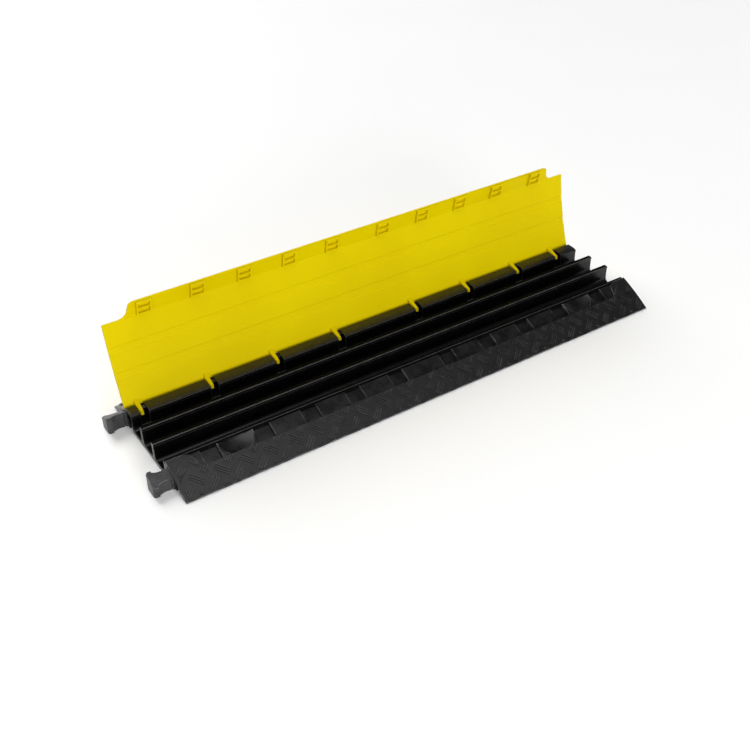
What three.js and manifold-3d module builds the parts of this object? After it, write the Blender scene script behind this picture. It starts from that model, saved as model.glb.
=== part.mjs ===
// Floor cord cover: a ramp with three cable channels and a hinged lid, standing open.
// Millimetres, +Z up. X runs along the cover, Y from the front ramp to the hinge.
// The origin is on the floor, under the middle of the base.
import * as THREE from "three";
import { mergeVertices } from "three/addons/utils/BufferGeometryUtils.js";
import Module from "manifold-3d";

// Base section
const LENGTH = 1000; // base, without the tongues
const FLOOR = 7; // floor plate under the channels
const CHANNEL = 38; // clear width of one cable channel
const CHANNEL_COUNT = 3;
const RIB = 8.8; // upright rib between two channels
const RIB_TOP = 41;
const BEAD = 0.4; // how far the bead on a wall's top stands out
const BEAD_HEIGHT = 5.5;
const EDGE = 0.8; // small chamfer on top edges
const FILLET = 9; // foot of a channel wall
const RAMP_RUN = 69.5; // from the nose to the top edge of a ramp
const RAMP_TOP = 38;
const RAMP_BULGE = 1.8; // how far a ramp swells above a straight line
const NOSE = 2; // thickness of a ramp's tip
const LIP = 5.2; // lip that carries the front of the closed lid
const LIP_TOP = 35;
const LIP_GROOVE = 4.2; // groove between the lip and the ramp
const LIP_GROOVE_DEPTH = 3;

// Underside
const SKIN = 5; // plate left over the hollows
const WEB = 6; // wall between two hollows
const TIP = 16; // solid tip of a ramp
const BAY_COUNT = 10; // hollows along the cover
const END_WALL = 10; // from the ends of the base to the hollows
const BAND_WEB_LEAD = 1.5; // wall under the band's front edge, ahead of that edge
const ROOT_WALL = 1.5; // from a tongue's head line to the open hollow beside it
const RIDGE_CELL = 15; // open cell in the left end of the ridge
const RIDGE_CELL_WALL = 3; // from the channel to that cell

// Catch band in the front ramp
const BAND_RUN = 28; // from the ramp's top edge to the tread
const BAND_DROP = 4.8; // how far the band lies below the tread
const BAND_INSET = 29.5; // from the ends of the base to the band
const BAND_CORNER = 11; // front corners of the band
const BAND_ROUND = 16; // round on the tread beside them
const BAND_SLANT = 1; // sideways step between the two
const POCKET = 31; // pocket, along the cover
const POCKET_WALL = 2; // from a pocket to the tread
const POCKET_DEPTH = 7; // below the band
const SCOOP_RADIUS = 32; // finger scoop
const SCOOP_DEPTH = 3.5; // below the band at its middle

// Hinge
const RIDGE_RUN = 19.5; // from the rear channel to the hinge axis
const HINGE_INSET = 70; // from the rear edge of the base to the hinge axis
const HINGE_HEIGHT = 31.5;
const PIN_RADIUS = 4;
const PIN_CLEARANCE = 0.3;
const RIDGE_TOP = 39; // ridge that holds the pins
const RIDGE_FRONT_DROP = 2.4; // its front edge, below the top
const RIDGE_FRONT_RUN = 13; // from the front edge to the flat top
const RIDGE_SHOULDER = 4; // from the axis to the rear edge of the flat top
const RIDGE_FOOT = 8; // from the axis to the rear ramp
const SLOT_GAP = 0.8; // play on the left of a hook
const SLOT_PLAY = 7; // free slot on its right
const SLOT_REAR = 10.8; // behind the axis
const SWING_GAP = 0.6; // around the swinging tip

// Hooks
const HOOK = 8; // thickness, along the cover
const HOOK_TIP = 5.6; // thickness at the tip
const HOOK_ROUND = 2.4; // corners of the tip
const HOOK_WALL = 3.8; // around the pin
const HOOK_REACH = 18.6; // from the axis to the tip
const HOOK_ROOT = 12; // along the panel
const HOOK_TIP_ANGLE = 18; // width of the tip, seen from the axis
const HOOK_MOUTH_TOP = 80; // upper end of the hook's bore
const HOOK_MOUTH_LOW = -30; // lower end of the hook's bore
const HOOK_COUNT = 4; // on each half
const LEFT_INSET = 22; // from the left end to the first hook
const LEFT_PITCH = 131.3;
const RIGHT_INSET = 52; // from the right end to the last hook
const RIGHT_LAST = 104; // between the last two
const RIGHT_PITCH = 126;

// Lid, as it lies closed
const LID_THICKNESS = 4;
const LID_END_GAP = 0.5; // lid shorter than the base at each end
const LID_REAR = 5.4; // rear edge, in front of the hinge axis
const LID_REAR_HEIGHT = 39.6; // underside at the rear edge
const LID_FOLD_HEIGHT = 36.2; // underside at the fold
const LID_CROWN = 4.4; // rise of the panel's middle
const LID_BORDER = 9.2; // flat strip under the rear edge
const LID_BORDER_SLANT = 1.4; // from that strip to the arch
const LID_STEPS = 12; // facets across the panel
const FOLD_GAP = 2; // from the ramp's top edge to the fold
const LID_GAP = 0.8; // between the flap and the walls of the band
const FLAP_LIFT = 0.5; // between the flap and the band
const SEAT = 15; // shallow seat over each rib
const SEAT_DEPTH = 1;
const SEAT_SLANT = 1;
const OPEN_ANGLE = 105; // lid standing open, as at rest

// Catch bosses under the flap
const BOSS = 27; // along the cover
const BOSS_HEIGHT = 6;
const BOSS_WALL = 3;
const BOSS_FLOOR = 0.8; // bottom of its windows, above the flap
const BOSS_EDGE = 1.8; // from the flap's edge
const BOSS_GAP = 0.8; // from the rear wall of its pocket
const BOSS_COUNT = 5; // on each half
const BOSS_MIDDLE = 111; // between the two middle ones
const BOSS_PITCH = 89.5;
const BOSS_LAST = 98; // between the last two on each half
const BOSS_SHIFT = -4; // whole row, off the middle
const WINDOW_COUNT = 2;

// Tongues on the left end and sockets in the right one
const TONGUE = 36; // out from the end
const TONGUE_INSET = 53.5; // from the long edge of the base to the tongue's middle
const TONGUE_HEAD = 29;
const TONGUE_HEAD_RUN = 10;
const TONGUE_STEP = 2.8; // from the side of the head to the waist
const TONGUE_STEP_SLANT = 0.6;
const TONGUE_NECK = 17;
const TONGUE_CORNER = 3;
const TONGUE_DROP = 4.2; // below the face of the ramp
const TONGUE_NOTCH = 3; // groove on each side of the root
const TONGUE_NOTCH_DEPTH = 3;
const TONGUE_NOTCH_OUT = 2.5; // from the end face to the groove
const SOCKET_GAP = 0.8;

const JOIN = 1; // how far joined solids reach into each other
const PAST = 1; // how far a cut runs past a face
const TALL = RIB_TOP + RIDGE_TOP; // higher than everything on the base

// Facets
const RAMP_FACETS = 8; // along a stretch of a ramp
const ROOF_FACETS = 2; // along the roof of a hollow
const QUARTER_FACETS = 6; // on a quarter round
const BORE_FACETS = 20; // inside a hook
const PIN_FACETS = 24;
const SCOOP_FACETS = 40;

const CHANNELS = CHANNEL_COUNT * CHANNEL + (CHANNEL_COUNT - 1) * RIB;
const WIDTH = RAMP_RUN + LIP_GROOVE + LIP + CHANNELS + RIDGE_RUN + HINGE_INSET;
const AXIS_Y = WIDTH / 2 - HINGE_INSET;
const RAMP_EDGE = RAMP_RUN - WIDTH / 2;
const LIP_FRONT = RAMP_EDGE + LIP_GROOVE;
const LIP_REAR = LIP_FRONT + LIP;
const WALL_FRONT = LIP_REAR + CHANNELS;
const BAND_FRONT = RAMP_EDGE - BAND_RUN;
const POCKET_REAR = RAMP_EDGE + LIP_GROOVE / 2;
const RAMP_ANGLE = Math.atan2(RAMP_TOP - NOSE, RAMP_RUN);
const LEFT = -LENGTH / 2;
const RIGHT = LENGTH / 2;
const LID_REAR_Y = AXIS_Y - LID_REAR;
const FOLD_Y = RAMP_EDGE + FOLD_GAP;

const wasm = await Module();
wasm.setup();

// A closed geometry becomes a solid that can be joined and cut.
function solid(geometry) {
  const bare = geometry.clone();
  bare.deleteAttribute("normal");
  bare.deleteAttribute("uv");
  const merged = mergeVertices(bare, 1e-4);
  const vertProperties = new Float32Array(merged.attributes.position.array);
  const triVerts = new Uint32Array(merged.index.array);
  return new wasm.Manifold(new wasm.Mesh({ numProp: 3, vertProperties, triVerts }));
}

function geometryOf(manifold) {
  const mesh = manifold.getMesh();
  const geometry = new THREE.BufferGeometry();
  const positions = new Float32Array(mesh.numVert * 3);
  for (let vertex = 0; vertex < mesh.numVert; vertex += 1) {
    for (let axis = 0; axis < 3; axis += 1) {
      positions[3 * vertex + axis] = mesh.vertProperties[vertex * mesh.numProp + axis];
    }
  }
  geometry.setAttribute("position", new THREE.BufferAttribute(positions, 3));
  geometry.setIndex(new THREE.BufferAttribute(new Uint32Array(mesh.triVerts), 1));
  geometry.computeVertexNormals();
  return geometry;
}

function shapeOf(points) {
  return new THREE.Shape(points.map(([a, b]) => new THREE.Vector2(a, b)));
}

// A section of (y, z) points runs along X.
function alongX(points, from, to) {
  const settings = { depth: to - from, bevelEnabled: false };
  const geometry = new THREE.ExtrudeGeometry(shapeOf(points), settings);
  const turn = new THREE.Matrix4().makeBasis(
    new THREE.Vector3(0, 1, 0),
    new THREE.Vector3(0, 0, 1),
    new THREE.Vector3(1, 0, 0),
  );
  geometry.applyMatrix4(turn);
  geometry.translate(from, 0, 0);
  return solid(geometry);
}

// A plan of (x, y) points runs along Z.
function alongZ(points, from, to) {
  const settings = { depth: to - from, bevelEnabled: false };
  const geometry = new THREE.ExtrudeGeometry(shapeOf(points), settings);
  geometry.translate(0, 0, from);
  return solid(geometry);
}

// An outline of (x, z) points runs along Y.
function alongY(points, from, to) {
  const settings = { depth: to - from, bevelEnabled: false };
  const geometry = new THREE.ExtrudeGeometry(shapeOf(points), settings);
  geometry.rotateX(Math.PI / 2);
  geometry.translate(0, to, 0);
  return solid(geometry);
}

function box(low, high) {
  const geometry = new THREE.BoxGeometry(high[0] - low[0], high[1] - low[1], high[2] - low[2]);
  geometry.translate((low[0] + high[0]) / 2, (low[1] + high[1]) / 2, (low[2] + high[2]) / 2);
  return solid(geometry);
}

// Points on an arc, angles in degrees, both ends included.
function arc(centre, radius, start, end, steps) {
  const points = [];
  for (let step = 0; step <= steps; step += 1) {
    const angle = THREE.MathUtils.degToRad(start + ((end - start) * step) / steps);
    points.push([centre[0] + radius * Math.cos(angle), centre[1] + radius * Math.sin(angle)]);
  }
  return points;
}

function mirrorX(points) {
  return points.map(([x, y]) => [-x, y]).reverse();
}

// Height of a ramp's face, by the distance from its nose.
function rampHeight(distance) {
  const share = distance / RAMP_RUN;
  return NOSE + (RAMP_TOP - NOSE) * share + 4 * RAMP_BULGE * share * (1 - share);
}

// Points on a ramp's face, or below it by a drop. The front ramp is side -1, the rear one +1.
function rampPoints(side, from, to, steps, drop = 0) {
  const points = [];
  for (let step = 0; step <= steps; step += 1) {
    const distance = from + ((to - from) * step) / steps;
    points.push([side * (WIDTH / 2 - distance), rampHeight(distance) - drop]);
  }
  return points;
}

function bandHeight(y) {
  return rampHeight(WIDTH / 2 + y) - BAND_DROP;
}

// One channel from the top of its rear wall, over its floor, to the top of its front wall.
function channelPoints(front, rear, frontTop, rearTop) {
  const frontFace = front - BEAD;
  const rearFace = rear + BEAD;
  const foot = FLOOR + FILLET;
  return [
    [rear, rearTop - BEAD_HEIGHT],
    [rearFace, rearTop - BEAD_HEIGHT - BEAD],
    ...arc([rearFace - FILLET, foot], FILLET, 0, -90, QUARTER_FACETS),
    ...arc([frontFace + FILLET, foot], FILLET, -90, -180, QUARTER_FACETS),
    [frontFace, frontTop - BEAD_HEIGHT - BEAD],
    [front, frontTop - BEAD_HEIGHT],
  ];
}

function channelFront(index) {
  return LIP_REAR + index * (CHANNEL + RIB);
}

function baseSection() {
  const wallTop = RIDGE_TOP - RIDGE_FRONT_DROP;
  const points = [
    [-WIDTH / 2, 0],
    [WIDTH / 2, 0],
    ...rampPoints(1, 0, HINGE_INSET - RIDGE_FOOT, RAMP_FACETS),
    [AXIS_Y + RIDGE_SHOULDER, RIDGE_TOP],
    [WALL_FRONT + RIDGE_FRONT_RUN, RIDGE_TOP],
    [WALL_FRONT + RIDGE_FRONT_RUN / 2, RIDGE_TOP - RIDGE_FRONT_DROP / 4],
    [WALL_FRONT + EDGE, wallTop],
    [WALL_FRONT, wallTop - EDGE],
  ];
  for (let index = CHANNEL_COUNT - 1; index >= 0; index -= 1) {
    const front = channelFront(index);
    const rear = front + CHANNEL;
    const rearTop = index === CHANNEL_COUNT - 1 ? wallTop : RIB_TOP;
    const frontTop = index === 0 ? LIP_TOP : RIB_TOP;
    points.push(...channelPoints(front, rear, frontTop, rearTop));
    points.push([front, frontTop - EDGE], [front - EDGE, frontTop]);
    if (index > 0) {
      points.push([front - RIB + EDGE, frontTop], [front - RIB, frontTop - EDGE]);
    }
  }
  const grooveFloor = LIP_TOP - LIP_GROOVE_DEPTH;
  points.push([LIP_FRONT, LIP_TOP], [LIP_FRONT - LIP_GROOVE / 2, grooveFloor]);
  points.push([RAMP_EDGE + EDGE, grooveFloor]);
  points.push(...rampPoints(-1, RAMP_RUN, 0, RAMP_FACETS));
  return points;
}

// Hollow under a ramp: a section with a sloping roof, open at the floor.
function hollow(side, from, to, drop, left, right) {
  const roof = rampPoints(side, from, to, ROOF_FACETS, drop);
  const first = roof[0];
  const last = roof[roof.length - 1];
  return alongX([[first[0], -PAST], ...roof, [last[0], -PAST]], left, right);
}

function underside() {
  const left = LEFT + END_WALL;
  const right = RIGHT - TONGUE - END_WALL;
  const bay = (right - left + WEB) / BAY_COUNT;
  const webFront = RAMP_RUN - BAND_RUN - BAND_WEB_LEAD;
  const bandDrop = BAND_DROP + (POCKET_DEPTH + SKIN) / Math.cos(RAMP_ANGLE);
  const cuts = [];
  for (let index = 0; index < BAY_COUNT; index += 1) {
    const from = left + index * bay;
    const to = from + bay - WEB;
    cuts.push(hollow(-1, TIP, webFront, SKIN, from, to));
    cuts.push(hollow(-1, webFront + WEB, RAMP_RUN + LIP_GROOVE, bandDrop, from, to));
    cuts.push(hollow(1, TIP, HINGE_INSET - SLOT_REAR - SKIN, SKIN, from, to));
  }
  // The front ramp and the ridge are open at the left end, beside the tongues.
  const besideTongue = TONGUE_INSET - TONGUE_HEAD / 2 - ROOT_WALL;
  cuts.push(hollow(-1, TIP, besideTongue, SKIN, LEFT - PAST, left + PAST));
  const cellFront = WALL_FRONT + RIDGE_CELL_WALL;
  const cellLow = [LEFT - PAST, cellFront, -PAST];
  cuts.push(box(cellLow, [left, cellFront + RIDGE_CELL, RIDGE_TOP - WEB]));
  return cuts;
}

// Right-hand end of the band: its front corner, a slant and a round on the tread.
function bandEnd(inset) {
  const roundX = RIGHT - BAND_INSET;
  const cornerX = roundX - BAND_ROUND - BAND_SLANT - BAND_CORNER;
  const corner = [cornerX, BAND_FRONT + BAND_CORNER];
  const round = [roundX, RAMP_EDGE - BAND_ROUND];
  return [
    ...arc(corner, BAND_CORNER - inset, -90, 0, QUARTER_FACETS),
    ...arc(round, BAND_ROUND + inset, 180, 90, QUARTER_FACETS),
  ];
}

// Everything above the band, up to the groove behind the ramp.
function bandSpace() {
  const end = [...bandEnd(0), [RIGHT - BAND_INSET, POCKET_REAR]];
  const plan = [...end, ...mirrorX(end)];
  const floor = rampPoints(-1, RAMP_RUN - BAND_RUN - PAST, RAMP_RUN, RAMP_FACETS, BAND_DROP);
  const rearFloor = [POCKET_REAR, RAMP_TOP - BAND_DROP];
  const section = [...floor, rearFloor, [POCKET_REAR, TALL], [floor[0][0], TALL]];
  return alongZ(plan, 0, TALL).intersect(alongX(section.reverse(), LEFT, RIGHT));
}

function bossCentres() {
  const centres = [];
  for (let index = 0; index < BOSS_COUNT; index += 1) {
    let offset = BOSS_MIDDLE / 2 + index * BOSS_PITCH;
    if (index === BOSS_COUNT - 1) {
      offset += BOSS_LAST - BOSS_PITCH;
    }
    centres.push(BOSS_SHIFT - offset, BOSS_SHIFT + offset);
  }
  return centres.sort((a, b) => a - b);
}

function pocket(centre) {
  const drop = BAND_DROP + POCKET_DEPTH / Math.cos(RAMP_ANGLE);
  const front = RAMP_RUN - BAND_RUN + POCKET_WALL;
  const floor = rampPoints(-1, front, WIDTH / 2 + POCKET_REAR, ROOF_FACETS, drop);
  const section = [...floor, [POCKET_REAR, TALL], [floor[0][0], TALL]].reverse();
  return alongX(section, centre - POCKET / 2, centre + POCKET / 2);
}

// Shallow dish for a finger, sunk into the band and open to the groove.
function scoop(centre) {
  const sphere = (SCOOP_RADIUS ** 2 + SCOOP_DEPTH ** 2) / (2 * SCOOP_DEPTH);
  const half = THREE.MathUtils.radToDeg(Math.asin(SCOOP_RADIUS / sphere));
  const dish = arc([0, sphere - SCOOP_DEPTH], sphere, -90, half - 90, QUARTER_FACETS);
  const profile = [...dish, [SCOOP_RADIUS, BAND_DROP], [0, BAND_DROP]];
  const lathePoints = profile.map(([radius, height]) => new THREE.Vector2(radius, height));
  lathePoints[0].x = 0;
  const geometry = new THREE.LatheGeometry(lathePoints, SCOOP_FACETS);
  geometry.rotateX(Math.PI / 2 + RAMP_ANGLE);
  geometry.translate(centre, RAMP_EDGE, bandHeight(RAMP_EDGE));
  const limit = box([LEFT, BAND_FRONT, 0], [RIGHT, POCKET_REAR, TALL]);
  return solid(geometry).intersect(limit);
}

// The scoops lie between the last two pockets at each end.
function scoopCentres() {
  const centres = bossCentres();
  const last = centres.length - 1;
  return [(centres[0] + centres[1]) / 2, (centres[last - 1] + centres[last]) / 2];
}

function hookCentres() {
  const centres = [];
  for (let index = 0; index < HOOK_COUNT; index += 1) {
    centres.push(LEFT + LEFT_INSET + index * LEFT_PITCH);
    const back = index === 0 ? 0 : RIGHT_LAST + (index - 1) * RIGHT_PITCH;
    centres.push(RIGHT - RIGHT_INSET - back);
  }
  return centres.sort((a, b) => a - b);
}

function slot(centre) {
  const low = [
    centre - HOOK / 2 - SLOT_GAP,
    WALL_FRONT - PAST,
    HINGE_HEIGHT - HOOK_REACH - SWING_GAP,
  ];
  return box(low, [centre + HOOK / 2 + SLOT_PLAY, AXIS_Y + SLOT_REAR, TALL]);
}

function pin(centre) {
  const left = centre - HOOK / 2 - SLOT_GAP - JOIN;
  const right = centre + HOOK / 2 + SLOT_PLAY + JOIN;
  const geometry = new THREE.CylinderGeometry(PIN_RADIUS, PIN_RADIUS, right - left, PIN_FACETS);
  geometry.rotateZ(Math.PI / 2);
  geometry.translate((left + right) / 2, AXIS_Y, HINGE_HEIGHT);
  return solid(geometry);
}

// Plan of a tongue, pointing to -X from x = 0, larger all round by a gap.
function tonguePlan(centreY, gap) {
  const head = TONGUE_HEAD / 2 + gap;
  const shoulder = head - TONGUE_STEP;
  const neck = TONGUE_NECK / 2 + gap;
  const tip = -TONGUE - gap;
  const waist = TONGUE - TONGUE_HEAD_RUN - JOIN - 2 * gap;
  const rise = shoulder - neck;
  const radius = (rise ** 2 + (waist / 2) ** 2) / (2 * rise);
  const half = THREE.MathUtils.radToDeg(Math.asin(waist / 2 / radius));
  const middle = -JOIN - waist / 2 - gap;
  const side = [
    [JOIN, shoulder],
    ...arc([middle, neck + radius], radius, half - 90, -half - 90, RAMP_FACETS),
    [middle - waist / 2 - TONGUE_STEP_SLANT, head],
    [tip + TONGUE_CORNER, head],
    [tip, head - TONGUE_CORNER],
  ];
  const other = side.map(([x, y]) => [x, -y]).reverse();
  return [...side, ...other].map(([x, y]) => [x, y + centreY]);
}

// A tongue, or the space for one, under a face that follows the ramp.
function tongue(side, endX, gap) {
  const centreY = side * (WIDTH / 2 - TONGUE_INSET);
  const plan = tonguePlan(centreY, gap).map(([x, y]) => [x + endX, y]);
  const from = TONGUE_INSET - TONGUE_HEAD;
  const top = rampPoints(side, from, from + 2 * TONGUE_HEAD, RAMP_FACETS, TONGUE_DROP - gap);
  const low = gap > 0 ? -PAST : 0;
  const section = [...top, [top[RAMP_FACETS][0], low], [top[0][0], low]];
  const reach = TONGUE + 2 * JOIN;
  return alongZ(plan, low, TALL).intersect(alongX(section, endX - reach, endX + reach));
}

// Upright grooves on both sides of a tongue's root.
function rootGrooves(side) {
  const centreY = side * (WIDTH / 2 - TONGUE_INSET);
  const high = LEFT - TONGUE_NOTCH_OUT;
  const reach = TONGUE_HEAD / 2 + PAST;
  const inner = TONGUE_HEAD / 2 - TONGUE_STEP - TONGUE_NOTCH_DEPTH;
  const near = box([high - TONGUE_NOTCH, centreY + inner, -PAST], [high, centreY + reach, TALL]);
  const far = box([high - TONGUE_NOTCH, centreY - reach, -PAST], [high, centreY - inner, TALL]);
  return [near, far];
}

function makeBase() {
  let base = alongX(baseSection(), LEFT, RIGHT);
  const cuts = [bandSpace(), ...underside()];
  cuts.push(...bossCentres().map(pocket), ...scoopCentres().map(scoop));
  cuts.push(...hookCentres().map(slot));
  for (const side of [-1, 1]) {
    base = base.add(tongue(side, LEFT, 0));
    cuts.push(tongue(side, RIGHT, SOCKET_GAP), ...rootGrooves(side));
  }
  for (const cut of cuts) {
    base = base.subtract(cut);
  }
  for (const centre of hookCentres()) {
    base = base.add(pin(centre));
  }
  return base;
}

// Underside of the panel, a low arch from the rear edge to the fold.
function panelUnder(y) {
  const share = (LID_REAR_Y - y) / (LID_REAR_Y - FOLD_Y);
  const straight = LID_REAR_HEIGHT + (LID_FOLD_HEIGHT - LID_REAR_HEIGHT) * share;
  return straight + 4 * LID_CROWN * share * (1 - share);
}

function panelStops() {
  const stops = [];
  for (let step = 0; step <= LID_STEPS; step += 1) {
    stops.push(LID_REAR_Y + ((FOLD_Y - LID_REAR_Y) * step) / LID_STEPS);
  }
  return stops;
}

// Underside points from the rear edge to the fold: a flat strip, then the arch with a seat
// over each rib.
function underPoints() {
  const stripEnd = LID_REAR_Y - LID_BORDER;
  const archStart = stripEnd - LID_BORDER_SLANT;
  const strip = [
    [LID_REAR_Y, LID_REAR_HEIGHT],
    [stripEnd, LID_REAR_HEIGHT],
    [archStart, panelUnder(archStart)],
  ];
  const corners = [];
  for (let index = 1; index < CHANNEL_COUNT; index += 1) {
    const centre = channelFront(index) - RIB / 2;
    for (const side of [1, -1]) {
      corners.push({ y: centre + (side * SEAT) / 2, rise: 0 });
      corners.push({ y: centre + side * (SEAT / 2 - SEAT_SLANT), rise: SEAT_DEPTH });
    }
  }
  const near = (y) => corners.some((corner) => Math.abs(corner.y - y) < SEAT / 2);
  const plain = panelStops().filter((y) => y < archStart - LID_BORDER_SLANT && !near(y));
  const all = [...plain.map((y) => ({ y, rise: 0 })), ...corners].sort((a, b) => b.y - a.y);
  return [...strip, ...all.map(({ y, rise }) => [y, panelUnder(y) + rise])];
}

// The flap runs from the fold to its edge, just above the band.
function flapFrame() {
  const endY = BAND_FRONT + LID_GAP;
  const endZ = bandHeight(endY) + FLAP_LIFT;
  const start = new THREE.Vector2(FOLD_Y, panelUnder(FOLD_Y));
  const end = new THREE.Vector2(endY, endZ);
  const along = end.clone().sub(start);
  const length = along.length();
  along.normalize();
  const up = new THREE.Vector2(along.y, -along.x);
  return { start, along, up, length, endY };
}

// A point of the flap, by the distance from the fold and the height over its underside.
function flapPoint(frame, distance, height) {
  const y = frame.start.x + frame.along.x * distance + frame.up.x * height;
  const z = frame.start.y + frame.along.y * distance + frame.up.y * height;
  return [y, z];
}

// The distance from the fold at which a height over the flap's underside has a given y.
function flapDistance(frame, y, height) {
  return (y - frame.start.x - frame.up.x * height) / frame.along.x;
}

function lidSection() {
  const frame = flapFrame();
  const topRun = flapDistance(frame, frame.endY, LID_THICKNESS);
  const top = panelStops().reverse().map((y) => [y, panelUnder(y) + LID_THICKNESS]);
  return [
    ...underPoints(),
    flapPoint(frame, frame.length, 0),
    flapPoint(frame, topRun, LID_THICKNESS),
    flapPoint(frame, 0, LID_THICKNESS),
    ...top,
  ];
}

function lidPlan() {
  const end = RIGHT - LID_END_GAP;
  const front = BAND_FRONT - POCKET;
  const corner = bandEnd(LID_GAP);
  const half = [
    [corner[0][0], front],
    ...corner,
    [end, RAMP_EDGE + LID_GAP],
    [end, WIDTH / 2],
  ];
  return [...half, ...mirrorX(half)];
}

// A catch boss: a frame with two windows that drops into its pocket.
function boss(centre) {
  const frame = flapFrame();
  const front = frame.length - BOSS_EDGE;
  const rear = POCKET_REAR - BOSS_GAP;
  const section = [
    flapPoint(frame, flapDistance(frame, rear, JOIN), JOIN),
    flapPoint(frame, flapDistance(frame, rear, -BOSS_HEIGHT), -BOSS_HEIGHT),
    flapPoint(frame, front, -BOSS_HEIGHT),
    flapPoint(frame, front, JOIN),
  ];
  let block = alongX(section, centre - BOSS / 2, centre + BOSS / 2);
  const first = flapDistance(frame, rear, -BOSS_HEIGHT) + BOSS_WALL;
  const run = (front - BOSS_WALL - first + BOSS_WALL) / WINDOW_COUNT;
  for (let index = 0; index < WINDOW_COUNT; index += 1) {
    const from = first + index * run;
    const to = from + run - BOSS_WALL;
    const opening = [
      flapPoint(frame, from, -BOSS_FLOOR),
      flapPoint(frame, from, -BOSS_HEIGHT - PAST),
      flapPoint(frame, to, -BOSS_HEIGHT - PAST),
      flapPoint(frame, to, -BOSS_FLOOR),
    ];
    const halfWindow = BOSS / 2 - BOSS_WALL;
    block = block.subtract(alongX(opening, centre - halfWindow, centre + halfWindow));
  }
  return block;
}

// Front view of a hook: it narrows below the axis and its tip has round corners.
function hookOutline(centre) {
  const half = HOOK_TIP / 2;
  const tipHeight = HINGE_HEIGHT - HOOK_REACH;
  const corner = [half - HOOK_ROUND, tipHeight + HOOK_ROUND];
  const side = [
    ...arc(corner, HOOK_ROUND, -90, 0, QUARTER_FACETS),
    [HOOK / 2, HINGE_HEIGHT],
    [HOOK / 2, TALL],
  ];
  return [...side, ...mirrorX(side)].map(([x, z]) => [x + centre, z]);
}

// A hook: a fin from the panel that wraps around the front of its pin.
function hook(centre) {
  const bore = PIN_RADIUS + PIN_CLEARANCE;
  const outer = bore + HOOK_WALL;
  const axis = [AXIS_Y, HINGE_HEIGHT];
  const root = LID_REAR_Y - HOOK_ROOT;
  const section = [
    [root, panelUnder(root) + JOIN],
    ...arc(axis, HOOK_REACH, -90, HOOK_TIP_ANGLE - 90, 3),
    ...arc(axis, outer, HOOK_MOUTH_LOW - HOOK_TIP_ANGLE, HOOK_MOUTH_LOW, 2),
    ...arc(axis, bore, HOOK_MOUTH_LOW, HOOK_MOUTH_TOP - 360, BORE_FACETS),
    ...arc(axis, outer, HOOK_MOUTH_TOP, HOOK_MOUTH_TOP + HOOK_TIP_ANGLE, 1),
    [LID_REAR_Y - JOIN / 2, panelUnder(LID_REAR_Y) + JOIN],
  ];
  const fin = alongX(section, centre - HOOK / 2, centre + HOOK / 2);
  return fin.intersect(alongY(hookOutline(centre), 0, WIDTH / 2));
}

function makeLid() {
  const ends = RIGHT - LID_END_GAP;
  const profile = alongX(lidSection(), -ends, ends);
  let lid = profile.intersect(alongZ(lidPlan(), 0, TALL));
  for (const centre of bossCentres()) {
    lid = lid.add(boss(centre));
  }
  for (const centre of hookCentres()) {
    lid = lid.add(hook(centre));
  }
  return lid;
}

function named(name, manifold, color, roughness) {
  const material = new THREE.MeshStandardMaterial({ color, roughness, metalness: 0 });
  const mesh = new THREE.Mesh(geometryOf(manifold), material);
  mesh.name = name;
  return mesh;
}

const cover = new THREE.Group();
cover.add(named("base", makeBase(), "#1b1b1c", 0.55));

// The lid is made closed and swings up about the hinge axis.
const lid = named("lid", makeLid(), "#e2cc00", 0.4);
lid.position.set(0, -AXIS_Y, -HINGE_HEIGHT);
const hinge = new THREE.Group();
hinge.position.set(0, AXIS_Y, HINGE_HEIGHT);
hinge.rotation.x = THREE.MathUtils.degToRad(-OPEN_ANGLE);
hinge.add(lid);
cover.add(hinge);

export default cover;
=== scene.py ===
import math

import bpy
from bpy.props import FloatProperty, FloatVectorProperty, IntProperty, PointerProperty
from mathutils import Matrix, Vector
from mathutils.bvhtree import BVHTree


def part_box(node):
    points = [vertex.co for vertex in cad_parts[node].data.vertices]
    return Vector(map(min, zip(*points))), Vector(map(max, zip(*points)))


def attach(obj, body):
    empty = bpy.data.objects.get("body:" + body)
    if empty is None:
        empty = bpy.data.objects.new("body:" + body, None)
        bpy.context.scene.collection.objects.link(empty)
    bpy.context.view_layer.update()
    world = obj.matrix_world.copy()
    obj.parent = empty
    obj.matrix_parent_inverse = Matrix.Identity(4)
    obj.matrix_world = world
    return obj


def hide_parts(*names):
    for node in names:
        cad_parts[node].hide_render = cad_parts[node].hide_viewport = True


bl_info = {
    "name": "Floor Cord Cover",
    "version": (1, 0, 0),
    "blender": (4, 5, 0),
    "location": "View3D > Sidebar > Cord Cover",
    "description": "Finishes a floor cord cover: treaded base, hinged lid and a plain studio",
    "category": "Object",
}

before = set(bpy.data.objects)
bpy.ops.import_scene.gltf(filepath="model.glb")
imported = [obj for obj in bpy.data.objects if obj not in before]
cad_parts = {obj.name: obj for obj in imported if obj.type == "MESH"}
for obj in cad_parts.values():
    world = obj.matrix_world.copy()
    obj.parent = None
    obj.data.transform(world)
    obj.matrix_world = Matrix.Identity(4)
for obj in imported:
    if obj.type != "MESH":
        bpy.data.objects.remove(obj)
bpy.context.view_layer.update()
BASE_LOW, BASE_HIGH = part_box("base")
LID_LOW, LID_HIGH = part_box("lid")
WHITE = (1.0, 1.0, 1.0, 1.0)
FLOOR_WHITE = (0.96, 0.96, 0.96, 1.0)

# Probing, merging and rounding
PROBE_START = 1.0  # metres, how far off the cover a probe starts
DOWN = (0, 0, -1)
FORWARD = (0, -1, 0)
MERGE = 0.00001  # metres, between points of a CAD mesh that are one point
SOFT_EDGE = math.radians(35)  # edges sharper than this are rounded
ROUNDING_SEGMENTS = 2

# Sides and ends of the cover, as signs along Y and along X
FRONT, REAR = -1, 1
LEFT, RIGHT = -1, 1

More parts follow.
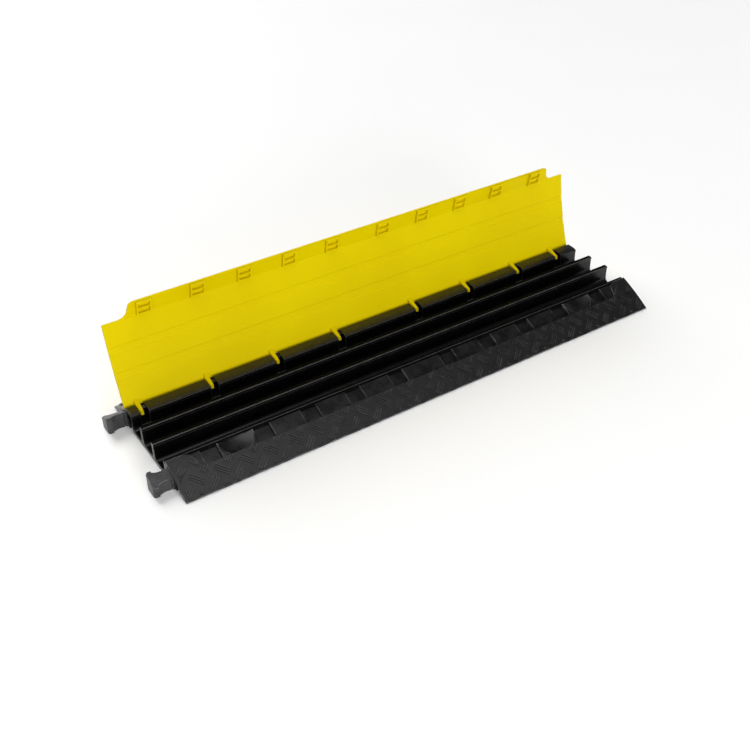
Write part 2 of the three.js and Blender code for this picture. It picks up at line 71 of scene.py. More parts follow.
# Places on the cover, in metres
HALF_LENGTH = BASE_HIGH.x
BESIDE_BAND = HALF_LENGTH - 0.012  # a line across the cover, past the right end of the catch band
END_SKIN = 0.0005  # within which a face lies on the left end
RAMP_RUN = 0.0695  # from the nose to the top edge of a ramp
RAMP_TOP = 0.038  # height of that edge
NOSE_HEIGHT = 0.002
CHORD_SLACK = 0.001  # how far the face of a ramp may lie under the straight line from nose to top
RAIL_FRONT = 0.062  # the rail of the hinge lies behind this
RIM_LOW = 0.031  # rims of the channels lie over this
FOLD_TOP = 0.182  # height of the lid's fold as the lid stands open

# Directions of faces, as shares of their normal
UPRIGHT = 0.9  # least share along X on a wall across the cover
UPWARD = 0.3  # least upward share of a face that faces up
BAR_FLAT = 0.9  # least upward share on the flat top of a bar
BAR_TOP = 0.75  # least upward share on that top and the slopes round it

# Zones of the base, numbered in the order of its materials
RAMP, BAND, CHANNEL, RIM, TONGUE_AND_LIT_FACE, WEAR_AND_HIGHLIGHT = range(6)

# Shape of a tread bar, as shares of its width or its height
BAR_END_ROUND = 0.42
BAR_END_SEGMENTS = 2
BAR_TOP_INSET = 0.20
BAR_TOP_RISE = 0.12
CORNER_ROW = 2  # whole rows below the groups beside the catch band

# Noise in the rubber, with scales per metre
CLOUD_SCALE = 55.0
CLOUD_RANGE = (0.35, 0.70)
CLOUD_DULLING = 0.08  # added to the roughness where the clouds are palest
SPECK_SCALE = 340.0
SPECK_RANGE = (0.55, 0.68)
GRAIN_SCALE = 620.0
GRAIN_DEPTH = 0.0012
COARSE_DETAIL = 3.0
FINE_DETAIL = 2.0
EVEN_BREAKUP = 0.5  # roughness of the noise itself
FINE_BREAKUP = 0.6

# Noise and gloss of the plastic
FLOW_SCALE = 6.0
FLOW_RANGE = (0.35, 0.70)
PLASTIC_CLOUD_SCALE = 45.0
PLASTIC_CLOUD_RANGE = (0.30, 0.70)
PLASTIC_ROUGHNESS = (0.40, 0.48)
PLASTIC_GRAIN_SCALE = 900.0
PLASTIC_GRAIN = 0.08
PLASTIC_GRAIN_DEPTH = 0.0003
PLASTIC_GLOSS = 0.03

# Floor and light
FLOOR_CLOUD_SCALE = 3.0
FLOOR_CLOUD_RANGE = (0.30, 0.70)
FLOOR_ROUGHNESS = (0.55, 0.62)
SKY_RISE = (0.1, 0.6)  # upward shares of a direction, between which the light falls off

# Each rubber finish: a dark and a pale colour of the settings, how much of the pale one comes in
# specks and in clouds, and the roughness, gloss and grain
RUBBERS = {
    "grained_rubber": dict(
        dark="rubber", pale="rubber_pale",
        specks=1.00, clouds=0.12, roughness=0.29, gloss=0.50, grain=0.32),
    "smooth_rubber": dict(
        dark="rubber", pale="rubber_pale",
        specks=0.06, clouds=0.45, roughness=0.24, gloss=0.42, grain=0.06),
    # Darker copy of the rubber in the channels and on the sides of the tread bars: painted shade
    "channel_rubber": dict(
        dark="rubber_deep_and_shade", pale="rubber",
        specks=0.05, clouds=0.25, roughness=0.24, gloss=0.35, grain=0.04),
    "rim_rubber": dict(
        dark="rubber_deep_and_shade", pale="rubber",
        specks=0.05, clouds=0.10, roughness=0.60, gloss=0.02, grain=0.05),
    # Grey rubber of the tongues, also put on lit faces of the base as painted light
    "tongue_rubber": dict(
        dark="tongue_and_lit_face", pale="tongue_and_lit_face_pale",
        specks=0.45, clouds=0.50, roughness=0.38, gloss=0.30, grain=0.20),
    # Pale edges facing the front: partly wear, partly painted highlight
    "worn_rubber": dict(
        dark="rubber_pale", pale="rubber_wear_and_highlight",
        specks=0.30, clouds=0.90, roughness=0.40, gloss=0.22, grain=0.10),
    # Paler tops of the tread bars: painted light
    "bar_top_highlight_rubber": dict(
        dark="rubber", pale="tongue_and_lit_face",
        specks=1.00, clouds=0.60, roughness=0.34, gloss=0.62, grain=0.18),
}
BASE_RUBBERS = {
    RAMP: "grained_rubber",
    BAND: "smooth_rubber",
    CHANNEL: "channel_rubber",
    RIM: "rim_rubber",
    TONGUE_AND_LIT_FACE: "tongue_rubber",
    WEAR_AND_HIGHLIGHT: "worn_rubber",
}


class TreadSettings(bpy.types.PropertyGroup):
    """Sizes and places of the tread bars"""

    bar_length: FloatProperty(
        name="Bar Length", description="Length of one raised bar", default=0.026, unit="LENGTH")
    bar_width: FloatProperty(
        name="Bar Width", description="Width of one raised bar at its foot", default=0.0023,
        unit="LENGTH")
    bar_height: FloatProperty(
        name="Bar Height", description="How far a bar stands out", default=0.0014, unit="LENGTH")
    bar_root: FloatProperty(
        name="Bar Root", description="How far a bar is sunk into its surface", default=0.0005,
        unit="LENGTH")
    bar_pitch: FloatProperty(
        name="Bar Pitch", description="Distance between the bars of a group", default=0.0042,
        unit="LENGTH")
    bars: IntProperty(
        name="Bars", description="Bars in a group", default=3, min=1)
    slant: FloatProperty(
        name="Slant", description="Turn of the bars from the long axis", default=math.radians(45),
        subtype="ANGLE")
    group_pitch: FloatProperty(
        name="Group Pitch", description="Distance between groups along the cover", default=0.0444,
        unit="LENGTH")
    row_pitch: FloatProperty(
        name="Row Pitch", description="Distance between rows, across the cover", default=0.015,
        unit="LENGTH")
    first_group: FloatProperty(
        name="First Group", description="Middle of the first rising group, from the left end",
        default=0.0107, unit="LENGTH")
    first_row: FloatProperty(
        name="First Row", description="Middle of the lowest whole row, from the nose of a ramp",
        default=0.011, unit="LENGTH")
    end_margin: FloatProperty(
        name="End Margin", description="Bare strip at the ends", default=0.007, unit="LENGTH")
    nose_margin: FloatProperty(
        name="Nose Margin", description="Bare strip along the nose of a ramp", default=0.0025,
        unit="LENGTH")
    front_reach: FloatProperty(
        name="Front Reach",
        description="From the front nose to the end of the tread under the catch band",
        default=0.0405, unit="LENGTH")
    rear_reach: FloatProperty(
        name="Rear Reach", description="From the rear nose to the end of the tread", default=0.050,
        unit="LENGTH")
    corner_bar_end: FloatProperty(
        name="Corner Bar, Along", description="From an end to the single bar beside the catch band",
        default=0.039, unit="LENGTH")
    corner_bar_rise: FloatProperty(
        name="Corner Bar, Across",
        description="From the nose to the single bar beside the catch band", default=0.0515,
        unit="LENGTH")
    lid_margin: FloatProperty(
        name="Lid Margin", description="Bare strip along the long edges of the lid", default=0.014,
        unit="LENGTH")


class FinishSettings(bpy.types.PropertyGroup):
    """Colours and rounded edges"""

    rubber: FloatVectorProperty(
        name="Rubber", description="Colour of the moulded rubber", subtype="COLOR", size=4,
        default=(0.0034, 0.0034, 0.0036, 1.0))
    rubber_pale: FloatVectorProperty(
        name="Rubber Bloom", description="Paler specks and clouds in the rubber", subtype="COLOR",
        size=4, default=(0.019, 0.019, 0.0194, 1.0))
    # Pale rounded edges facing the front: partly wear, partly painted highlight
    rubber_wear_and_highlight: FloatVectorProperty(
        name="Worn Rubber", description="Colour of edges polished by wear", subtype="COLOR", size=4,
        default=(0.27, 0.27, 0.275, 1.0))
    # Darkest rubber: painted shade in the channels and on the sides of the tread bars, also the
    # dark of the rims
    rubber_deep_and_shade: FloatVectorProperty(
        name="Channel Rubber", description="Colour of the clean rubber in the channels",
        subtype="COLOR", size=4, default=(0.0022, 0.0022, 0.0023, 1.0))
    # Grey of the tongues; also painted light on walls and edges facing the light and on the tops of
    # the tread bars
    tongue_and_lit_face: FloatVectorProperty(
        name="Tongue Rubber", description="Colour of the tongues and in the tops of the bars",
        subtype="COLOR", size=4, default=(0.035, 0.035, 0.036, 1.0))
    tongue_and_lit_face_pale: FloatVectorProperty(
        name="Tongue Bloom", description="Paler specks and clouds on the tongues", subtype="COLOR",
        size=4, default=(0.085, 0.085, 0.087, 1.0))
    yellow: FloatVectorProperty(
        name="Yellow", description="Colour of the lid", subtype="COLOR", size=4,
        default=(0.735, 0.580, 0.0, 1.0))
    yellow_deep: FloatVectorProperty(
        name="Deep Yellow", description="Deeper colour in patches of the lid", subtype="COLOR",
        size=4, default=(0.69, 0.530, 0.0, 1.0))
    lid_round: FloatProperty(
        name="Lid Rounding", description="Width of the rounding on the edges of the lid",
        default=0.0006, unit="LENGTH")
    base_round: FloatProperty(
        name="Base Rounding", description="Width of the rounding on the edges of the base",
        default=0.0006, unit="LENGTH")


class StageSettings(bpy.types.PropertyGroup):
    """Camera, floor and light"""

    camera_place: FloatVectorProperty(
        name="Camera Place", description="Where the camera stands", subtype="XYZ", size=3,
        default=(-0.88217, -1.30029, 1.10223))
    heading: FloatProperty(
        name="Heading", description="Turn of the view from +Y towards +X",
        default=math.radians(32.662), subtype="ANGLE")
    pitch: FloatProperty(
        name="Pitch", description="How far the view looks down", default=math.radians(36.163),
        subtype="ANGLE")
    roll: FloatProperty(
        name="Roll", description="Turn of the camera about its view", default=math.radians(-1.139),
        subtype="ANGLE")
    focal_share: FloatProperty(
        name="Focal Share", description="Focal length as a share of the picture's width",
        default=1.3620)
    floor_size: FloatProperty(
        name="Floor Size", description="Edge of the square floor", default=30.0, unit="LENGTH")
    horizon_strength: FloatProperty(
        name="Horizon Strength", description="Light from all round, near the horizon", default=0.60)
    zenith_strength: FloatProperty(
        name="Zenith Strength", description="Light from all round, from above", default=0.08)
    sky_from: FloatVectorProperty(
        name="Sky From", description="Direction that the broad light from above comes from",
        subtype="XYZ", size=3, default=(-0.08, -0.24, 0.967))
    sky_spread: FloatProperty(
        name="Sky Spread", description="Angle that the broad light fills", default=math.radians(44),
        subtype="ANGLE")
    sky_strength: FloatProperty(
        name="Sky Strength", description="Strength of the broad light", default=1.02)
    back_from: FloatVectorProperty(
        name="Back From", description="Direction that the light from behind comes from",
        subtype="XYZ", size=3, default=(0.0, 0.80, 0.60))
    back_spread: FloatProperty(
        name="Back Spread", description="Angle that the light from behind fills",
        default=math.radians(40), subtype="ANGLE")
    back_strength: FloatProperty(
        name="Back Strength", description="Strength of the light from behind", default=2.55)
    key_place: FloatVectorProperty(
        name="Key Place", description="Where the front light stands", subtype="XYZ", size=3,
        default=(-0.8, -6.0, 1.2))
    key_size: FloatProperty(
        name="Key Size", description="Edge of the front light", default=2.5, unit="LENGTH")
    key_power: FloatProperty(
        name="Key Power", description="Power of the front light in watts", default=198.0)


def select_only(piece):
    if bpy.context.mode != "OBJECT":
        bpy.ops.object.mode_set(mode="OBJECT")
    bpy.ops.object.select_all(action="DESELECT")
    piece.select_set(True)
    bpy.context.view_layer.objects.active = piece


def apply_modifier(piece, kind, **settings):
    select_only(piece)
    modifier = piece.modifiers.new(kind.title(), kind)
    for name, value in settings.items():
        setattr(modifier, name, value)
    bpy.ops.object.modifier_apply(modifier=modifier.name)


def join(pieces, name):
    select_only(pieces[0])
    for piece in pieces[1:]:
        piece.select_set(True)
    if len(pieces) > 1:
        bpy.ops.object.join()
    joined = bpy.context.view_layer.objects.active
    joined.name = name
    joined.data.name = name
    return joined


def new_material(name):
    material = bpy.data.materials.new(name)
    material.use_nodes = True
    tree = material.node_tree
    shader = tree.nodes["Principled BSDF"]
    return material, tree, shader


def object_coordinates(tree):
    return tree.nodes.new("ShaderNodeTexCoord").outputs["Object"]


def noise(tree, coordinates, scale, detail, breakup=EVEN_BREAKUP):
    node = tree.nodes.new("ShaderNodeTexNoise")
    node.inputs["Scale"].default_value = scale
    node.inputs["Detail"].default_value = detail
    node.inputs["Roughness"].default_value = breakup
    tree.links.new(coordinates, node.inputs["Vector"])
    return node.outputs["Fac"]


def remap(tree, value, source, target):
    """Carries a value over from its source range to the target range."""
    node = tree.nodes.new("ShaderNodeMapRange")
    node.inputs["From Min"].default_value, node.inputs["From Max"].default_value = source
    node.inputs["To Min"].default_value, node.inputs["To Max"].default_value = target
    tree.links.new(value, node.inputs["Value"])
    return node.outputs["Result"]


def add(tree, first, second):
    node = tree.nodes.new("ShaderNodeMath")
    node.operation = "ADD"
    tree.links.new(first, node.inputs[0])
    tree.links.new(second, node.inputs[1])
    return node.outputs["Value"]


def mix_colours(tree, share, first, second):
    node = tree.nodes.new("ShaderNodeMix")
    node.data_type = "RGBA"
    node.inputs["A"].default_value = first
    node.inputs["B"].default_value = second
    tree.links.new(share, node.inputs["Factor"])
    return node.outputs["Result"]


def bump(tree, height, strength, distance):
    node = tree.nodes.new("ShaderNodeBump")
    node.inputs["Distance"].default_value = distance
    node.inputs["Strength"].default_value = strength
    tree.links.new(height, node.inputs["Height"])
    return node.outputs["Normal"]


def rubber_material(name, dark, pale, specks, clouds, roughness, gloss, grain):
    """Moulded rubber: fine pale specks, soft clouds, and a grain that shows in the light."""
    finish = bpy.context.scene.cover_finish
    material, tree, shader = new_material(name)
    coordinates = object_coordinates(tree)
    cloud = noise(tree, coordinates, CLOUD_SCALE, COARSE_DETAIL)
    cloud = remap(tree, cloud, CLOUD_RANGE, (0.0, clouds))
    speck = noise(tree, coordinates, SPECK_SCALE, FINE_DETAIL, FINE_BREAKUP)
    speck = remap(tree, speck, SPECK_RANGE, (0.0, specks))
    pale_share = add(tree, cloud, speck)
    colour = mix_colours(tree, pale_share, getattr(finish, dark), getattr(finish, pale))
    tree.links.new(colour, shader.inputs["Base Color"])
    dulling = remap(tree, cloud, (0.0, clouds), (roughness, roughness + CLOUD_DULLING))
    tree.links.new(dulling, shader.inputs["Roughness"])
    relief = noise(tree, coordinates, GRAIN_SCALE, COARSE_DETAIL, FINE_BREAKUP)
    tree.links.new(bump(tree, relief, grain, GRAIN_DEPTH), shader.inputs["Normal"])
    shader.inputs["Specular IOR Level"].default_value = gloss
    return material


def rubber(name):
    """The rubber finish of that name, made at its first use."""
    return bpy.data.materials.get(name) or rubber_material(name, **RUBBERS[name])


def plastic_material():
    """Moulded yellow plastic with a soft gloss and faint flow marks."""
    finish = bpy.context.scene.cover_finish
    material, tree, shader = new_material("yellow_plastic")
    coordinates = object_coordinates(tree)
    flow = noise(tree, coordinates, FLOW_SCALE, COARSE_DETAIL)
    flow = remap(tree, flow, FLOW_RANGE, (0.0, 1.0))
    colour = mix_colours(tree, flow, finish.yellow, finish.yellow_deep)
    tree.links.new(colour, shader.inputs["Base Color"])
    cloud = noise(tree, coordinates, PLASTIC_CLOUD_SCALE, COARSE_DETAIL)
    dulling = remap(tree, cloud, PLASTIC_CLOUD_RANGE, PLASTIC_ROUGHNESS)
    tree.links.new(dulling, shader.inputs["Roughness"])
    relief = noise(tree, coordinates, PLASTIC_GRAIN_SCALE, FINE_DETAIL)
    tree.links.new(bump(tree, relief, PLASTIC_GRAIN, PLASTIC_GRAIN_DEPTH), shader.inputs["Normal"])
    shader.inputs["Specular IOR Level"].default_value = PLASTIC_GLOSS
    return material


def plastic():
    """The yellow plastic of the lid, made at its first use."""
    return bpy.data.materials.get("yellow_plastic") or plastic_material()


def floor_material():
    material, tree, shader = new_material("pale_floor")
    cloud = noise(tree, object_coordinates(tree), FLOOR_CLOUD_SCALE, FINE_DETAIL)
    dulling = remap(tree, cloud, FLOOR_CLOUD_RANGE, FLOOR_ROUGHNESS)
    tree.links.new(dulling, shader.inputs["Roughness"])
    shader.inputs["Base Color"].default_value = FLOOR_WHITE
    return material


def studio_world(stage):
    """Even white light, stronger near the horizon than overhead."""
    world = bpy.data.worlds.new("studio")
    world.use_nodes = True
    tree = world.node_tree
    background = tree.nodes["Background"]
    background.inputs["Color"].default_value = WHITE
    direction = tree.nodes.new("ShaderNodeTexCoord").outputs["Generated"]
    parts = tree.nodes.new("ShaderNodeSeparateXYZ")
    tree.links.new(direction, parts.inputs["Vector"])
    strengths = (stage.horizon_strength, stage.zenith_strength)
    strength = remap(tree, parts.outputs["Z"], SKY_RISE, strengths)
    tree.links.new(strength, background.inputs["Strength"])
    return world


def mark_ridges(mesh):
    """Full bevel weight on the edges where two faces meet in a sharp ridge, none in the corners."""
    faces_of = {}
    for face in mesh.polygons:
        for key in face.edge_keys:
            faces_of.setdefault(key, []).append(face)
    weights = mesh.attributes.new("bevel_weight_edge", "FLOAT", "EDGE")
    for edge, weight in zip(mesh.edges, weights.data):
        first, second = faces_of[edge.key]
        sharp = first.normal.angle(second.normal, 0) > SOFT_EDGE
        ridge = (second.center - first.center).dot(first.normal) < 0
        weight.value = 1.0 if sharp and ridge else 0.0


def rounded_copy(node, name, width, zone_of, edge_zone_of, materials):
    """A merged copy of a CAD node with its ridges rounded and a material on each zone."""
    rounding = len(materials) - 1  # marks the new faces on the ridges until they get their zone
    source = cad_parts[node].data
    points = [tuple(vertex.co) for vertex in source.vertices]
    faces = [tuple(face.vertices) for face in source.polygons]
    mesh = bpy.data.meshes.new(name)
    mesh.from_pydata(points, [], faces)
    piece = bpy.data.objects.new(name, mesh)
    bpy.context.scene.collection.objects.link(piece)
    for material in materials:
        mesh.materials.append(material)
    select_only(piece)
    bpy.ops.object.mode_set(mode="EDIT")
    bpy.ops.mesh.select_all(action="SELECT")
    bpy.ops.mesh.remove_doubles(threshold=MERGE)
    bpy.ops.object.mode_set(mode="OBJECT")
    for face in mesh.polygons:
        face.material_index = zone_of(face.center, face.normal)
    mark_ridges(mesh)
    apply_modifier(
        piece, "BEVEL", width=width, segments=ROUNDING_SEGMENTS, limit_method="WEIGHT",
        use_clamp_overlap=False, material=rounding)
    for face in mesh.polygons:
        if face.material_index == rounding:
            face.material_index = edge_zone_of(face.center, face.normal)
    select_only(piece)
    bpy.ops.object.shade_smooth_by_angle(angle=SOFT_EDGE)
    apply_modifier(piece, "WEIGHTED_NORMAL", keep_sharp=True)
    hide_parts(node)
    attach(piece, node)
    return piece


def one_zone(_place, _normal):
    """The only zone of a piece in one material."""
    return 0


def base_zone(place, normal):
    """Zone of a face of the base; walls of the pockets that face left get the paler tongue rubber
    as painted light, for the light that falls on them from the left.
    """
    if place.x < -HALF_LENGTH:
        return TONGUE_AND_LIT_FACE
    from_nose = min(place.y - BASE_LOW.y, BASE_HIGH.y - place.y)
    # Walls facing left: painted light, the paler tongue rubber on the side that faces the light
    if normal.x < -UPRIGHT:
        if place.x < END_SKIN - HALF_LENGTH:
            return BAND
        if from_nose < RAMP_RUN and place.z > NOSE_HEIGHT:
            return TONGUE_AND_LIT_FACE
    if from_nose < RAMP_RUN:
        over_chord = place.z - NOSE_HEIGHT - (RAMP_TOP - NOSE_HEIGHT) * from_nose / RAMP_RUN
        return RAMP if normal.z > UPWARD and over_chord > -CHORD_SLACK else BAND
    if normal.z > UPWARD and place.z > RIM_LOW:
        return RAMP if place.y > RAIL_FRONT else RIM
    # Everything else takes the darker channel rubber, painted shade
    return CHANNEL


def base_edge_zone(place, normal):
    """Zone of a rounded edge: if it faces the front, a painted highlight with some wear, in pale
    rubber on the ramp and as the tongues behind.
    """
    if normal.y > 0:
        return base_zone(place, normal)
    return WEAR_AND_HIGHLIGHT if place.y - BASE_LOW.y < RAMP_RUN else TONGUE_AND_LIT_FACE


def tread_bar(tread, materials):
    """One bar along X with its foot just under z = 0, in one material for the top and one below; on
    the ramps a paler top as painted light and dark sides as painted shade.
    """
    bpy.ops.object.select_all(action="DESELECT")
    bpy.ops.mesh.primitive_cube_add(size=1.0)
    bar = bpy.context.object
    bar.scale = (tread.bar_length, tread.bar_width, tread.bar_height + tread.bar_root)
    bar.location.z = (tread.bar_height - tread.bar_root) / 2
    bpy.ops.object.transform_apply(location=True, rotation=False, scale=True)
    bpy.ops.object.mode_set(mode="EDIT")
    bpy.ops.mesh.select_all(action="DESELECT")
    bpy.ops.object.mode_set(mode="OBJECT")
    for edge in bar.data.edges:
        ends = [bar.data.vertices[index].co for index in edge.vertices]
        edge.select = abs(ends[0].z - ends[1].z) > tread.bar_root
    bpy.ops.object.mode_set(mode="EDIT")
    bpy.ops.mesh.select_mode(type="EDGE")
    bpy.ops.mesh.bevel(
        offset=tread.bar_width * BAR_END_ROUND, segments=BAR_END_SEGMENTS, affect="EDGES")
    bpy.ops.mesh.select_all(action="DESELECT")
    bpy.ops.object.mode_set(mode="OBJECT")
    for face in bar.data.polygons:
        face.select = face.normal.z > BAR_FLAT
    bpy.ops.object.mode_set(mode="EDIT")
    bpy.ops.mesh.select_mode(type="FACE")
    bpy.ops.mesh.inset(thickness=tread.bar_width * BAR_TOP_INSET, depth=0.0)
    bpy.ops.transform.translate(value=(0, 0, tread.bar_height * BAR_TOP_RISE))
    bpy.ops.object.mode_set(mode="OBJECT")
    for material in materials:
        bar.data.materials.append(material)
    for face in bar.data.polygons:
        # The top and its slopes take the first material, the sides the second: on the ramps painted
        # light and painted shade
        face.material_index = 0 if face.normal.z > BAR_TOP else 1
    return bar


def tread_group(tread, materials, slant):
    """Bars side by side, turned by the slant about Z."""
    group = tread_bar(tread, materials)
    apply_modifier(
        group, "ARRAY", count=tread.bars, use_relative_offset=False, use_constant_offset=True,
        constant_offset_displace=(0, tread.bar_pitch, 0))
    shift = Matrix.Translation((0, -tread.bar_pitch * (tread.bars - 1) / 2, 0))
    group.data.transform(Matrix.Rotation(slant, 4, "Z") @ shift)
    return group


def cut_along(piece, place, normal):
    """Cuts away what lies past a plane and closes the cut."""
    select_only(piece)
    bpy.ops.object.mode_set(mode="EDIT")
    bpy.ops.mesh.select_all(action="SELECT")
    bpy.ops.mesh.bisect(plane_co=place, plane_no=normal, use_fill=True, clear_outer=True)
    bpy.ops.object.mode_set(mode="OBJECT")


def probe(node, origin, direction):
    """Where a ray meets a CAD node, and the normal there."""
    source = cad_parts[node].data
    points = [vertex.co for vertex in source.vertices]
    faces = [tuple(face.vertices) for face in source.polygons]
    surface = BVHTree.FromPolygons(points, faces)
    place, normal, _face, _distance = surface.ray_cast(Vector(origin), Vector(direction))
    if place is None:
        raise RuntimeError(f"a probe from {tuple(origin)} misses {node}")
    return place, normal


def seated(place, normal):
    """A frame on a surface: X along the cover, Z out of the surface."""
    across = normal.cross(Vector((1, 0, 0))).normalized()
    along = across.cross(normal).normalized()
    turn = Matrix((along, across, normal)).transposed().to_4x4()
    return Matrix.Translation(place) @ turn


def lay_row(tread, materials, slant, centres, shift, seat, across, along):
    """A row of groups on a seat, cut at its limits across (on the seat) and along (X)."""
    row = tread_group(tread, materials, slant)
    if len(centres) > 1:
        apply_modifier(
            row, "ARRAY", count=len(centres), use_relative_offset=False, use_constant_offset=True,
            constant_offset_displace=(tread.group_pitch, 0, 0))
    row.data.transform(Matrix.Translation((centres[0], shift, 0)))
    cut_along(row, (0, across[0], 0), (0, -1, 0))
    cut_along(row, (0, across[1], 0), (0, 1, 0))
    cut_along(row, (along[0], 0, 0), (-1, 0, 0))
    cut_along(row, (along[1], 0, 0), (1, 0, 0))
    row.data.transform(seat)
    return row


def group_centres(tread, rising):
    """Middles of the groups of a row, from the left end to the right one."""
    first = -HALF_LENGTH + tread.first_group + (0 if rising else tread.group_pitch / 2)
    count = int((HALF_LENGTH - first) / tread.group_pitch) + 1
    return [first + index * tread.group_pitch for index in range(count)]


def half_across(tread):
    """How far a group reaches to each side of its middle, across the row."""
    spread = tread.bar_pitch * (tread.bars - 1) + tread.bar_width
    return (tread.bar_length * math.sin(tread.slant) + spread * math.cos(tread.slant)) / 2


def ramp_seat(side, distance):
    """The seat on a ramp at a distance from its nose, and the upward share of its normal."""
    nose = BASE_LOW.y if side == FRONT else BASE_HIGH.y
    place, normal = probe("base", (BESIDE_BAND, nose - side * distance, PROBE_START), DOWN)
    place.x = 0
    return seated(place, normal), normal.z


def ramp_rows(tread, materials, side, reach):
    """Rows of bars from the nose of a ramp up to its reach, rising and falling by turns."""
    along = (tread.end_margin - HALF_LENGTH, HALF_LENGTH - tread.end_margin)
    rows = []
    distance = tread.first_row - tread.row_pitch
    rising = False
    while distance - half_across(tread) < reach:
        middle = max(distance, 2 * tread.nose_margin)
        seat, upward = ramp_seat(side, middle)
        limits = sorted(-side * (limit - middle) / upward for limit in (tread.nose_margin, reach))
        shift = -side * (distance - middle) / upward
        slant = tread.slant if rising else -tread.slant
        centres = group_centres(tread, rising)
        rows.append(lay_row(tread, materials, slant, centres, shift, seat, limits, along))
        distance += tread.row_pitch
        rising = not rising
    return rows


def corner_tread(tread, materials):
    """Beside the catch band: a whole group and a single bar at each end of the front ramp."""
    along = (tread.end_margin - HALF_LENGTH, HALF_LENGTH - tread.end_margin)
    whole = (-half_across(tread), half_across(tread))
    centres = group_centres(tread, True)
    seat, _upward = ramp_seat(FRONT, tread.first_row + CORNER_ROW * tread.row_pitch)
    pieces = []
    for centre in (centres[0], centres[-1]):
        pieces.append(lay_row(tread, materials, tread.slant, [centre], 0, seat, whole, along))
    seat, _upward = ramp_seat(FRONT, tread.corner_bar_rise)
    for end in (LEFT, RIGHT):
        bar = tread_bar(tread, materials)
        bar.data.transform(Matrix.Rotation(end * tread.slant, 4, "Z"))
        bar.data.transform(Matrix.Translation((end * (HALF_LENGTH - tread.corner_bar_end), 0, 0)))
        bar.data.transform(seat)
        pieces.append(bar)
    return pieces


def finish_tread(pieces, name, body):
    piece = join(pieces, name)
    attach(piece, body)


class COVER_OT_base(bpy.types.Operator):
    """Finish the moulded rubber base"""

    bl_idname = "cover.base"
    bl_label = "Base"

    def execute(self, context):
        materials = [rubber(BASE_RUBBERS[zone]) for zone in sorted(BASE_RUBBERS)]
        width = context.scene.cover_finish.base_round
        piece = rounded_copy("base", "rubber_base", width, base_zone, base_edge_zone, materials)
        return {"FINISHED"}


class COVER_OT_lid(bpy.types.Operator):
    """Finish the hinged plastic lid"""

    bl_idname = "cover.lid"
    bl_label = "Lid"

    def execute(self, context):
        width = context.scene.cover_finish.lid_round
        piece = rounded_copy("lid", "plastic_lid", width, one_zone, one_zone, [plastic()])
        return {"FINISHED"}


class COVER_OT_front_tread(bpy.types.Operator):
    """Raise the tread bars on the front ramp"""

    bl_idname = "cover.front_tread"
    bl_label = "Front Tread"

    def execute(self, context):
        tread = context.scene.cover_tread
        # Paler bar tops as painted light, the darkest rubber on the bar sides as painted shade
        materials = (rubber("bar_top_highlight_rubber"), rubber("channel_rubber"))
        rows = ramp_rows(tread, materials, FRONT, tread.front_reach)
        rows += corner_tread(tread, materials)
        finish_tread(rows, "front_tread", "base")
        return {"FINISHED"}


class COVER_OT_rear_tread(bpy.types.Operator):
    """Raise the tread bars on the rear ramp"""

    bl_idname = "cover.rear_tread"
    bl_label = "Rear Tread"

    def execute(self, context):
        tread = context.scene.cover_tread
        # Paler bar tops as painted light, the darkest rubber on the bar sides as painted shade
        materials = (rubber("bar_top_highlight_rubber"), rubber("channel_rubber"))
        rows = ramp_rows(tread, materials, REAR, tread.rear_reach)
        finish_tread(rows, "rear_tread", "base")
        return {"FINISHED"}


class COVER_OT_lid_tread(bpy.types.Operator):
    """Raise the tread bars on the outside of the lid"""

    bl_idname = "cover.lid_tread"
    bl_label = "Lid Tread"

    def execute(self, context):
        tread = context.scene.cover_tread
        materials = (plastic(), plastic())
        along = (tread.end_margin - HALF_LENGTH, HALF_LENGTH - tread.end_margin)
        whole = (-half_across(tread), half_across(tread))
        rows = []
        rising = True
        height = BASE_HIGH.z + tread.lid_margin
        while height < FOLD_TOP - tread.lid_margin:
            place, normal = probe("lid", (0, BASE_HIGH.y + PROBE_START, height), FORWARD)
            slant = tread.slant if rising else -tread.slant
            seat = seated(place, normal)
            centres = group_centres(tread, rising)
            rows.append(lay_row(tread, materials, slant, centres, 0, seat, whole, along))
            height += tread.row_pitch * abs(normal.y)
            rising = not rising
        finish_tread(rows, "lid_tread", "lid")
        return {"FINISHED"}


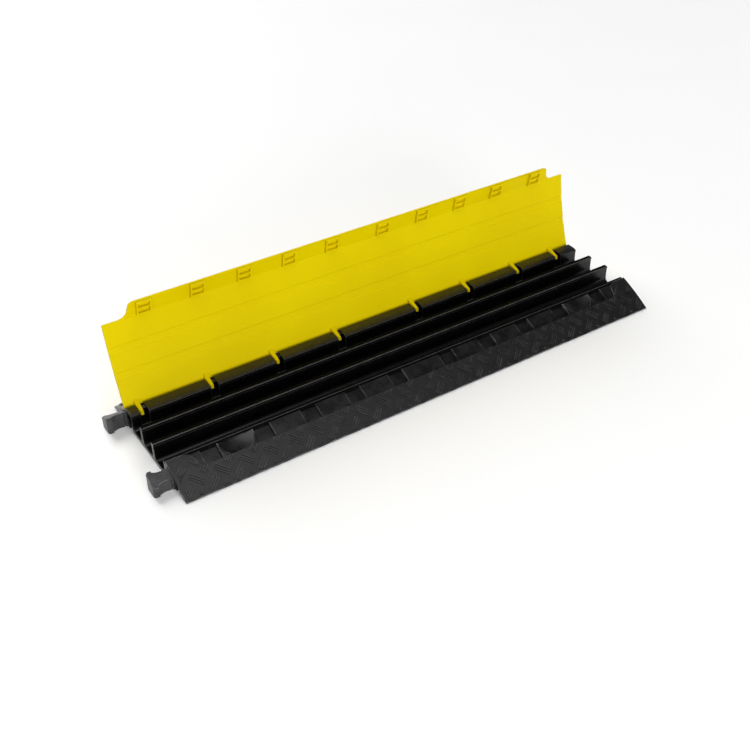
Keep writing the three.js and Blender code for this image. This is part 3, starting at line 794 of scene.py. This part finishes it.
class COVER_OT_stage(bpy.types.Operator):
    """Set the floor, the light and the camera"""

    bl_idname = "cover.stage"
    bl_label = "Stage"

    def execute(self, context):
        stage = context.scene.cover_stage
        bpy.ops.object.select_all(action="DESELECT")
        bpy.ops.mesh.primitive_plane_add(size=stage.floor_size, location=(0, 0, BASE_LOW.z))
        floor = context.object
        floor.name = "floor"
        floor.data.materials.append(floor_material())
        context.scene.world = studio_world(stage)
        sky = self.add_light(context, "sky", "SUN", stage.sky_from, stage.sky_from)
        sky.angle = stage.sky_spread
        sky.energy = stage.sky_strength
        back = self.add_light(context, "back", "SUN", stage.back_from, stage.back_from)
        back.angle = stage.back_spread
        back.energy = stage.back_strength
        away = Vector(stage.key_place) - Vector((LID_LOW.x / 2, 0, LID_HIGH.z / 2))
        key = self.add_light(context, "key", "AREA", stage.key_place, away)
        key.size = stage.key_size
        key.energy = stage.key_power
        self.add_camera(context, stage)
        context.scene.view_settings.view_transform = "Standard"
        return {"FINISHED"}

    def add_light(self, context, name, kind, place, away):
        data = bpy.data.lights.new(name, kind)
        light = bpy.data.objects.new(name, data)
        light.location = place
        light.rotation_euler = Vector(away).to_track_quat("Z", "Y").to_euler()
        context.scene.collection.objects.link(light)
        return data

    def add_camera(self, context, stage):
        data = bpy.data.cameras.new("camera")
        data.lens = data.sensor_width * stage.focal_share
        camera = bpy.data.objects.new("camera", data)
        turn = Matrix.Rotation(-stage.heading, 3, "Z")
        tip = Matrix.Rotation(math.pi / 2 - stage.pitch, 3, "X")
        lean = Matrix.Rotation(stage.roll, 3, "Z")
        camera.location = stage.camera_place
        camera.rotation_euler = (turn @ tip @ lean).to_euler()
        context.scene.collection.objects.link(camera)
        context.scene.camera = camera


class COVER_PT_panel(bpy.types.Panel):
    """Sizes, colours and pieces of the cord cover"""

    bl_idname = "COVER_PT_panel"
    bl_label = "Floor Cord Cover"
    bl_space_type = "VIEW_3D"
    bl_region_type = "UI"
    bl_category = "Cord Cover"

    def draw(self, context):
        for name in SETTINGS:
            group = getattr(context.scene, name)
            box = self.layout.box()
            for setting in group.bl_rna.properties.keys():
                if setting not in ("rna_type", "name"):
                    box.prop(group, setting)
        for operator in OPERATORS:
            self.layout.operator(operator.bl_idname)


SETTINGS = {
    "cover_tread": TreadSettings,
    "cover_finish": FinishSettings,
    "cover_stage": StageSettings,
}
OPERATORS = (
    COVER_OT_stage, COVER_OT_base, COVER_OT_lid, COVER_OT_front_tread, COVER_OT_rear_tread,
    COVER_OT_lid_tread,
)


def register():
    for name, settings in SETTINGS.items():
        bpy.utils.register_class(settings)
        setattr(bpy.types.Scene, name, PointerProperty(type=settings))
    for operator in OPERATORS:
        bpy.utils.register_class(operator)
    bpy.utils.register_class(COVER_PT_panel)


def unregister():
    bpy.utils.unregister_class(COVER_PT_panel)
    for operator in reversed(OPERATORS):
        bpy.utils.unregister_class(operator)
    for name, settings in SETTINGS.items():
        delattr(bpy.types.Scene, name)
        bpy.utils.unregister_class(settings)


def main():
    register()
    bpy.ops.cover.stage()
    bpy.ops.cover.base()
    bpy.ops.cover.lid()
    bpy.ops.cover.front_tread()
    bpy.ops.cover.rear_tread()
    bpy.ops.cover.lid_tread()


if __name__ == "__main__":
    main()
